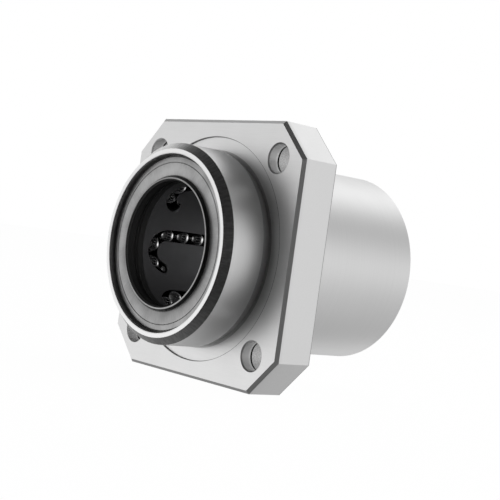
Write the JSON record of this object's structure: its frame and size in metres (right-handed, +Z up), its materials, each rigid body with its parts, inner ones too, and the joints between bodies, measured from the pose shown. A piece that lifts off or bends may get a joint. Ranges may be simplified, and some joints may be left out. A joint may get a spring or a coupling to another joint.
{
  "type": "flanged linear bearing",
  "caption": "Linear ball bearing with a square flange, cut corners, counterbored bolt holes and a short pilot in front of the flange.",
  "frame": {"origin": "on the bore axis, in the flange face on the pilot side", "axes": "+Y along the bore axis from the pilot towards the long barrel, +Z up with the flange's flats level, +X to the right seen from the pilot"},
  "size_m": [0.042, 0.0419, 0.042],
  "materials": {
    "sleeve_steel": "fine ground, with unground chamfers and reliefs left dark",
    "retainer_resin": "moulded, glossy black",
    "ball_steel": "polished",
    "end_ring_resin": "moulded, satin black",
    "snap_ring_steel": "blackened spring steel",
    "shield_steel": "pressed sheet, brushed in circles",
    "lip_rubber": "moulded, satin black"
  },
  "bodies": {
    "root": {"flanged_sleeve": "sleeve_steel", "ball_retainer": "retainer_resin", "loaded_balls_1": "ball_steel", "loaded_balls_2": "ball_steel", "loaded_balls_3": "ball_steel", "loaded_balls_4": "ball_steel", "loaded_balls_5": "ball_steel", "loaded_balls_6": "ball_steel", "return_balls_1": "ball_steel", "return_balls_2": "ball_steel", "return_balls_3": "ball_steel", "return_balls_4": "ball_steel", "return_balls_5": "ball_steel", "return_balls_6": "ball_steel", "front_end_ring": "end_ring_resin", "front_snap_ring": "snap_ring_steel", "front_seal_shield": "shield_steel", "front_seal_lip": "lip_rubber", "rear_end_ring": "end_ring_resin", "rear_snap_ring": "snap_ring_steel", "rear_seal_shield": "shield_steel", "rear_seal_lip": "lip_rubber"}
  },
  "joints": []
}
